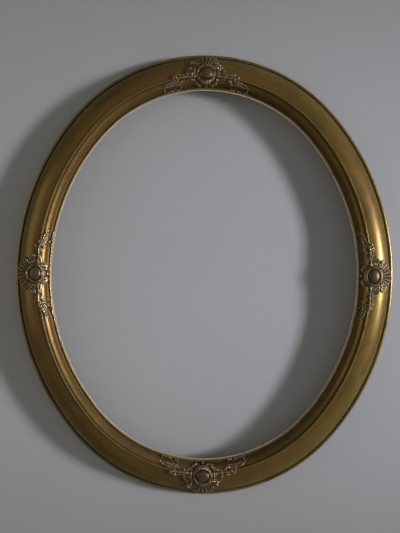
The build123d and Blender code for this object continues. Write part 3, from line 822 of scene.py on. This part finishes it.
def makeCartouche():
    relief = newRelief(shield)
    addField(relief)
    along, across = relief["along"], relief["across"]
    body = np.hypot(along / shield["bodyAlong"], (across - shield["bodyMiddle"]) / shield["bodyAcross"])
    carve(relief, body, 1.0, shield["bodyHeight"], "flat", 0)
    carveShell(relief)
    for hand in (-1, 1):
        carveScroll(relief, hand)
    carveCollar(relief)
    # a ring round the boss, with level ground within it
    ring = np.hypot(along / shield["ringAlong"], (across - boss["middle"]) / shield["ringAcross"])
    distance = np.abs(ring - 1) * (shield["ringAlong"] + shield["ringAcross"]) / 2
    carve(relief, distance, shield["ringWidth"], shield["ringHeight"], "round", shield["ringGutter"])
    inside = ring < 1 - shield["ringWidth"] / shield["ringMean"]
    field = np.maximum(relief["ground"], shield["fieldHeight"]) - shield["fieldSunk"]
    relief["top"] = np.where(inside, field, relief["top"])
    finishRelief(relief)
    onRing = distance < shield["ringWidth"] + shield["ringCrestReach"]
    # weaker painted shade on the boss's field and weaker painted highlight on its ring
    relief["hollow"] *= np.where(inside, shield["fieldDirt"], 1)
    relief["crest"] *= np.where(onRing, shield["ringCrest"], 1)
    return relief


# Spray: a ribbed wing beside the shield, a stem along the ridge, acanthus leaves lying in the hollow
leafSpray = {
    "alongFrom": 15.0, "alongTo": 74.0, "acrossFrom": 16.0, "acrossTo": 59.9,
    "stem": ([(19, 48.5), (26, 46.5), (33, 43.6), (41, 42.6), (50, 43.2)], 48,
             [2.4, 2.0, 1.6, 1.4, 1.2], [2.0, 2.2, 2.0, 1.9, 1.7], "round", 0.6),
    "stemBeads": ((33.0, 40.0, 1.5), (36.6, 39.6, 1.6), (40.2, 39.5, 1.5), (43.4, 39.8, 1.2)),
    "stemBeadHeight": 2.3,
    "sideLeaves": (
        ([(34, 44.5), (38, 47.5), (42.5, 49.2)], 20, [0.9, 2.2, 0.8], [1.5, 2.4, 1.4], "leaf", 0.7),
        ([(40, 41.5), (44, 37.6), (48.2, 36.6)], 20, [0.9, 2.1, 0.8], [1.5, 2.4, 1.6], "leaf", 0.7)),
    "bud": (50.6, 41.6), "budTurn": (150, 1.2, 3.3, 1.1, 40), "budWidths": [1.3, 1.1, 0.9],
    "budHeights": [2.4, 2.9, 3.1], "budGutter": 0.7, "budBead": (1.2, 3.5),
    "acanthusLeaves": (  # spine, reach, lobes, height, lean in degrees, width of a lobe
        ([(41.5, 49.5), (45.0, 52.5), (47.2, 57.3)], 4.6, 3, 2.4, 50, 0.40),
        ([(47, 46.6), (54, 50.6), (62, 53.2), (70.5, 54.6)], 7.6, 5, 2.7, 46, 0.30)),
    "turnedTip": ([(64.5, 56.6), (67.5, 57.7), (71.5, 57.3)], 14, [1.2, 1.9, 0.7], [2.0, 2.4, 1.4], "leaf", 0.6),
    "endBeads": ((65.2, 48.4, 1.1), (68.2, 49.9, 1.2), (71.4, 54.8, 1.4)), "endBeadHeight": 2.6,
    "wing": {
        "root": (14.5, 42.5), "reach": 14.2, "reachFade": 2.2, "outerTurn": 62, "innerTurn": 18, "turnFade": 6,
        "height": 1.5, "ribs": 11, "firstRib": -16, "ribPitch": 7.3, "ribFrom": 8.5, "ribTo": 17.0,
        "ribWidths": [0.45, 1.05], "ribHeights": [1.5, 2.9], "gutter": 0.6,
        "lipRadius": 8.2, "lipTurns": (-0.3, 1.1, 18), "lipWidths": [0.8, 1.1, 0.8],
        "lipHeights": [1.8, 2.5, 1.8], "lipGutter": 0.5,
    },
}


def carveWing(relief):
    wing = leafSpray["wing"]
    rootAlong, rootAcross = wing["root"]
    away = np.hypot(relief["along"] - rootAlong, relief["across"] - rootAcross)
    turn = np.degrees(np.arctan2(rootAcross - relief["across"], relief["along"] - rootAlong))
    sides = np.maximum(turn - wing["outerTurn"], -wing["innerTurn"] - turn) / wing["turnFade"]
    edge = np.maximum((away - wing["reach"]) / wing["reachFade"], sides)
    carve(relief, np.maximum(edge + 1, 0), 1.0, wing["height"], "flat", wing["gutter"])

    def fromRoot(distance, angle):
        return rootAlong + distance * math.cos(angle), rootAcross - distance * math.sin(angle)

    for k in range(wing["ribs"]):
        angle = math.radians(wing["firstRib"] + wing["ribPitch"] * k)
        rib = [fromRoot(wing["ribFrom"], angle), fromRoot(wing["ribTo"], angle)]
        strand(relief, rib, wing["ribWidths"], wing["ribHeights"], "round", wing["gutter"])
    lip = [fromRoot(wing["lipRadius"], angle) for angle in np.linspace(*wing["lipTurns"])]
    strand(relief, lip, wing["lipWidths"], wing["lipHeights"], "round", wing["lipGutter"])


def makeSpray():
    relief = newRelief(leafSpray)
    carveWing(relief)
    lay(relief, leafSpray["stem"])
    for along, across, radius in leafSpray["stemBeads"]:
        bead(relief, (along, across), radius, leafSpray["stemBeadHeight"])
    for form in leafSpray["sideLeaves"]:
        lay(relief, form)
    bud = spiral(leafSpray["bud"], *leafSpray["budTurn"])
    strand(relief, bud, leafSpray["budWidths"], leafSpray["budHeights"], "round", leafSpray["budGutter"])
    bead(relief, leafSpray["bud"], *leafSpray["budBead"])
    for leaf in leafSpray["acanthusLeaves"]:
        lobedLeaf(relief, *leaf)
    lay(relief, leafSpray["turnedTip"])
    for along, across, radius in leafSpray["endBeads"]:
        bead(relief, (along, across), radius, leafSpray["endBeadHeight"])
    finishRelief(relief)
    return relief


def railPoint(side, along, across, height):  # metres; along runs from the middle of the rail
    cx, cz, radius, middle, half = rails[side]
    angle = math.radians(middle) - along / (radius - carving["trueLengthAt"])
    distance = radius - across
    return np.stack([(cx + distance * np.cos(angle)) * mm, -height * mm, (cz + distance * np.sin(angle)) * mm], 1)


def solidPiece(name, points, faces, values, material):
    mesh = bpy.data.meshes.new(name)
    mesh.from_pydata(points.tolist(), [], faces)
    for label, field in values.items():
        storeValues(mesh, label, field)
    mesh.polygons.foreach_set("use_smooth", np.ones(len(faces), bool))
    mesh.materials.append(material)
    mesh.validate()
    piece = newPiece(name, mesh)
    turnOutwards(mesh)
    return piece


def raisedCells(relief):  # the cells that the casting covers, with no two meeting only at a corner
    raised = relief["top"] > relief["bare"] - carving["rimBelow"]
    cells = raised[:-1, :-1] | raised[1:, :-1] | raised[:-1, 1:] | raised[1:, 1:]
    for _ in range(4):
        a, b, d, e = cells[:-1, :-1], cells[1:, 1:], cells[1:, :-1], cells[:-1, 1:]
        cross = (a & b & ~d & ~e) | (d & e & ~a & ~b)
        for corner in (a, b, d, e):
            corner |= cross
    return cells


def reliefPiece(name, relief, side, hand, material):  # a closed shell: carved front, back sunk in the wood
    top, bare = relief["top"], relief["bare"]
    index = np.arange(top.size).reshape(top.shape)
    quads = np.stack([index[:-1, :-1], index[1:, :-1], index[1:, 1:], index[:-1, 1:]], -1)[raisedCells(relief)]
    edges = np.concatenate([quads[:, [k, (k + 1) % 4]] for k in range(4)])
    forth, back = edges[:, 0] * top.size + edges[:, 1], edges[:, 1] * top.size + edges[:, 0]
    rim = edges[~np.isin(forth, back)]
    under = top.size
    walls = np.stack([rim[:, 1], rim[:, 0], rim[:, 0] + under, rim[:, 1] + under], 1)
    used, faces = np.unique(np.concatenate([quads, quads[:, ::-1] + under, walls]), return_inverse=True)

    def onBoth(field):
        return np.tile(field.ravel(), 2)[used]

    sunk = np.minimum(blurred(bare, carving["backSoftness"]), bare) - carving["sunk"]
    height = np.concatenate([top.ravel(), np.minimum(sunk, top - carving["leastThickness"]).ravel()])[used]
    points = railPoint(side, onBoth(relief["along"]) * hand, onBoth(relief["across"]), height)
    tones = {label: onBoth(relief[label]) for label in ("crest", "hollow")}
    return solidPiece(name, points, faces.reshape(-1, 4).tolist(), tones, material)


def makeBoss(name, side):  # a smooth oval dome, closed by a flat foot
    rings, segments, foot, rise = boss["rings"], boss["segments"], boss["foot"], boss["rise"]
    points, faces = [], []
    for ring in range(rings):
        t = (ring / rings) ** boss["ringBias"] * math.pi / 2
        width, lift = math.cos(t) ** boss["fullness"], foot + rise * math.sin(t)
        for turn in (math.tau * k / segments for k in range(segments)):
            points.append((boss["along"] * width * math.cos(turn), boss["across"] * width * math.sin(turn), lift))
    crown = len(points)
    points += [(0, 0, foot + rise), (0, 0, foot - boss["sunk"])]
    base = len(points)
    points += [(x, y, foot - boss["sunk"]) for x, y, lift in points[:segments]]
    last = (rings - 1) * segments
    for k in range(segments):
        after = (k + 1) % segments
        for start in range(0, last, segments):
            faces.append((start + k, start + after, start + segments + after, start + segments + k))
        faces += [(last + k, last + after, crown), (base + k, base + after, after, k),
                  (crown + 1, base + after, base + k)]
    p = np.array(points)
    # the dome's top takes the light rubbed colour as a painted highlight, its foot the dark colour as painted
    # shade
    high = (p[:, 2] - foot) / rise
    tones = {"crest": np.clip(high - boss["crestFrom"], 0, 1), "hollow": np.clip(boss["hollowTo"] - high, 0, 1)}
    placed = railPoint(side, p[:, 0], boss["middle"] + p[:, 1], p[:, 2])
    return solidPiece(name, placed, faces, tones, bossMaterial)


# the dark hollow colour is grime and painted shade; the light crest colour is wear and painted highlight
castingFinish = {
    "leaf": (0.185, 0.125, 0.046, 1), "shade": (0.110, 0.074, 0.038, 1), "bole": (0.13, 0.06, 0.04, 1),
    "dirt": (0.042, 0.029, 0.016, 1), "rubbed": (0.62, 0.48, 0.28, 1), "tint": (0.11, 0.062, 0.052, 1),
    "tintAmount": 0.6, "rubFloor": 0.05, "blotchScale": 70, "grainScale": 900, "boleAmount": 0.35,
    "lowRoughness": 0.28, "highRoughness": 0.44, "metallic": 0.6, "specular": 0.15,
    "bump": 0.3, "bumpDepth": 0.0003, "dust": 0.08,
}
bossFinish = dict(castingFinish, leaf=(0.13, 0.083, 0.036, 1), shade=(0.09, 0.06, 0.03, 1), boleAmount=0.25,
                  rubbed=(0.26, 0.185, 0.09, 1), lowRoughness=0.34, highRoughness=0.48, bump=0.12)


def makeCastingMaterial(name, finish):
    material, tree, shader, place = newMaterial(name)
    leaf = leafNode(tree, finish, place).outputs
    dusted = dustOver(tree, leaf["Color"], finish["dust"])
    feed(tree, shader, {
        "Base Color": dusted["Color"],
        "Metallic": reckon(tree, "SUBTRACT", finish["metallic"], dusted["Mask"], clamp=True),
        "Roughness": leaf["Roughness"],
        "Specular IOR Level": finish["specular"],
        "Normal": bumped(tree, leaf["Height"], finish["bump"], finish["bumpDepth"]),
    })
    return material


castingMaterial = makeCastingMaterial("agedGiltCasting", castingFinish)
bossMaterial = makeCastingMaterial("burnishedBoss", bossFinish)
cartouche, spray = makeCartouche(), makeSpray()
print("reliefs carved:", cartouche["top"].shape, spray["top"].shape)

sprayNames = {"Top": ("top_left", "top_right"), "Right": ("right_upper", "right_lower"),
              "Bottom": ("bottom_right", "bottom_left"), "Left": ("left_lower", "left_upper")}
for side in rails:
    shieldPiece = reliefPiece("cartoucheCasting" + side, cartouche, side, 1, castingMaterial)
    dress(shieldPiece, "cartouche_" + side.lower())
    dress(makeBoss("boss" + side, side), "boss_" + side.lower())
    for hand, node in zip((-1, 1), sprayNames[side]):
        name = "sprayCasting" + node.title().replace("_", "")
        sprayPiece = reliefPiece(name, spray, side, hand, castingMaterial)
        dress(sprayPiece, "spray_" + node)
    print("ornament", side, len(shieldPiece.data.polygons), "and", len(sprayPiece.data.polygons), "faces")


# Fittings keep the imported model's meshes; each kind gets its own worn finish

# the dark colour goes where ambient occlusion finds corners: painted shade
brassFinish = {
    "color": (0.40, 0.26, 0.09, 1), "tarnish": (0.14, 0.085, 0.04, 1), "worn": (0.66, 0.50, 0.24, 1),
    "dirt": (0.05, 0.04, 0.03, 1), "patches": 110, "grain": 1400, "stretch": (1, 1, 1),
    "tarnishing": (0.40, 0.60), "dulling": (0.35, 0.68), "lowRoughness": 0.28, "highRoughness": 0.55,
    "bump": 0.10, "bumpDepth": 0.0002, "dust": 0.25,
}
strapFinish = dict(brassFinish, color=(0.43, 0.29, 0.11, 1), patches=150, stretch=(1, 1, 0.15), bump=0.14)
wireFinish = dict(brassFinish, color=(0.42, 0.34, 0.20, 1), tarnish=(0.20, 0.15, 0.09, 1),
                  worn=(0.55, 0.53, 0.49, 1), patches=260, lowRoughness=0.22, highRoughness=0.42)
screwFinish = dict(brassFinish, color=(0.33, 0.32, 0.30, 1), tarnish=(0.13, 0.10, 0.08, 1),
                   worn=(0.60, 0.59, 0.57, 1), patches=320, lowRoughness=0.30, highRoughness=0.52)
dowelFinish = {
    "light": (0.52, 0.36, 0.20, 1), "dark": (0.36, 0.23, 0.12, 1), "glue": (0.42, 0.30, 0.13, 1),
    "scale": 260, "smearScale": 90.0, "smears": (0.55, 0.7, 0.0, 0.6), "roughness": 0.62,
    "bump": 0.25, "bumpDepth": 0.0003,
}


def makeMetalMaterial(name, finish):
    material, tree, shader, place = newMaterial(name)
    patches = noise(tree, place, finish["patches"], 5.0, 0.65)
    grain = noise(tree, stretched(tree, place, finish["stretch"]), finish["grain"], 3.0)
    edges = put(tree, "ShaderNodeGroup", node_tree=edgeWear).outputs
    color = blend(tree, ramp(tree, patches, *finish["tarnishing"]), finish["color"], finish["tarnish"])
    color = blend(tree, edges["Wear"], color, finish["worn"])
    # painted shade: the dark colour in shut-in corners
    color = blend(tree, edges["Dirt"], color, finish["dirt"])
    dusted = dustOver(tree, color, finish["dust"])
    feed(tree, shader, {
        "Base Color": dusted["Color"],
        "Metallic": reckon(tree, "SUBTRACT", 1.0, dusted["Mask"], clamp=True),
        "Roughness": ramp(tree, patches, *finish["dulling"], finish["lowRoughness"], finish["highRoughness"]),
        "Normal": bumped(tree, grain, finish["bump"], finish["bumpDepth"]),
    })
    return material


def makeDowelMaterial():
    material, tree, shader, place = newMaterial("birchDowel")
    wood = put(tree, "ShaderNodeGroup", {
        "Vector": place, "Light": dowelFinish["light"], "Dark": dowelFinish["dark"],
        "Scale": dowelFinish["scale"],
    }, node_tree=woodGrain).outputs
    smears = ramp(tree, noise(tree, place, dowelFinish["smearScale"], 3.0), *dowelFinish["smears"])
    feed(tree, shader, {
        "Base Color": blend(tree, smears, wood["Color"], dowelFinish["glue"]),
        "Roughness": dowelFinish["roughness"],
        "Normal": bumped(tree, wood["Height"], dowelFinish["bump"], dowelFinish["bumpDepth"]),
    })
    return material


steelScrew = makeMetalMaterial("dullSteelScrew", screwFinish)
fittings = {  # by the start of the node's name
    "joint_dowels": makeDowelMaterial(), "button_screws": steelScrew, "hanger_screws": steelScrew,
    "turn_button": makeMetalMaterial("tarnishedBrassButton", brassFinish),
    "hanger_strap": makeMetalMaterial("foldedBrassStrap", strapFinish),
    "d_ring": makeMetalMaterial("wornBrassedWire", wireFinish),
}
for node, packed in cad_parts.items():
    for kind, material in fittings.items():
        if node.startswith(kind):
            packed.data.materials.clear()
            packed.data.materials.append(material)
print("fittings finished")


# Stage: pale wall and floor, camera as the photo was taken, plain soft light

stage = {
    "cameraPlace": (-0.0072, -0.8646, 0.0133), "cameraRoll": -0.5, "focalLength": 35.12, "sensor": 36,
    "wallColor": (0.455, 0.455, 0.475), "floorColor": (0.62, 0.61, 0.60),
    "roughness": 0.85, "specular": 0.2, "mottleScale": 2.5, "mottleLow": 0.94, "mottleHigh": 1.06,
    "floorLevel": -0.95, "wallGap": 0.002, "extent": 3.0,
    "worldLevel": 0.14, "worldColor": (1.0, 1.0, 0.93, 1),
}
lamps = {  # place, point it faces, width, height, power in watts, spread in degrees, colour
    "windowRight": ((3.1, -1.20, 0.10), (0, 0, 0), 0.28, 0.9, 3.5, 26, (0.93, 0.95, 1.0)),
    "softRight": ((1.85, -0.95, 0.1), (0, 0, 0), 1.5, 2.2, 3, 180, (1.0, 0.98, 0.96)),
    "backFill": ((0.3, 2.3, 0), (0, 0, 0), 1.6, 1.6, 16, 180, (1.0, 1.0, 1.0)),
    "roomLeft": ((-2.3, -1.05, 0.25), (0, 0, 0), 1.4, 1.8, 9, 180, (1.0, 0.98, 0.84)),
}


def makePlane(name, corners, material):
    mesh = bpy.data.meshes.new(name)
    mesh.from_pydata(corners, [], [(0, 1, 2, 3)])
    mesh.materials.append(material)
    newPiece(name, mesh)


def makeStageMaterial(name, color):
    material, tree, shader, place = newMaterial(name)
    mottle = ramp(tree, noise(tree, place, stage["mottleScale"], 4.0), 0.0, 1.0,
                  stage["mottleLow"], stage["mottleHigh"])
    tinted = put(tree, "ShaderNodeVectorMath", {0: color, "Scale": mottle}, operation="SCALE")
    feed(tree, shader, {
        "Base Color": tinted.outputs["Vector"],
        "Roughness": stage["roughness"], "Specular IOR Level": stage["specular"],
    })
    return material


def showFromFrontOnly(material):  # only the camera sees it, and only from its front
    tree = material.node_tree
    seen = put(tree, "ShaderNodeLightPath").outputs["Is Camera Ray"]
    behind = put(tree, "ShaderNodeNewGeometry").outputs["Backfacing"]
    choice = put(tree, "ShaderNodeMixShader", {
        0: reckon(tree, "SUBTRACT", seen, behind, clamp=True),
        1: put(tree, "ShaderNodeBsdfTransparent").outputs["BSDF"],
        2: tree.nodes["Principled BSDF"].outputs["BSDF"],
    })
    feed(tree, tree.nodes["Material Output"], {"Surface": choice.outputs["Shader"]})


wallMaterial = makeStageMaterial("paintedWall", stage["wallColor"])
showFromFrontOnly(wallMaterial)
reach, level, gap = stage["extent"], stage["floorLevel"], stage["wallGap"]
makePlane("wall", [(-reach, gap, level), (reach, gap, level), (reach, gap, reach), (-reach, gap, reach)],
          wallMaterial)
floorMaterial = makeStageMaterial("paleFloor", stage["floorColor"])
corners = [(x * reach, y * reach, level) for x, y in ((-1, -1), (1, -1), (1, 1), (-1, 1))]
makePlane("floor", corners, floorMaterial)

cameraData = bpy.data.cameras.new("camera")
cameraData.lens = stage["focalLength"]
cameraData.sensor_width = stage["sensor"]
camera = newPiece("camera", cameraData)
camera.location = stage["cameraPlace"]
camera.rotation_euler = (math.radians(90), math.radians(stage["cameraRoll"]), 0)
bpy.context.scene.camera = camera

for name, (location, target, width, height, power, spread, color) in lamps.items():
    light = bpy.data.lights.new(name, "AREA")
    light.shape = "RECTANGLE"
    light.size = width
    light.size_y = height
    light.spread = math.radians(spread)
    light.energy = power
    light.color = color
    lamp = newPiece(name, light)
    lamp.location = location
    lamp.rotation_euler = (Vector(target) - Vector(location)).to_track_quat("-Z", "Y").to_euler()

world = bpy.data.worlds.new("studio")
world.use_nodes = True
world.node_tree.nodes["Background"].inputs["Color"].default_value = stage["worldColor"]
world.node_tree.nodes["Background"].inputs["Strength"].default_value = stage["worldLevel"]
bpy.context.scene.world = world
bpy.context.scene.view_settings.view_transform = "Standard"

print("stage set")
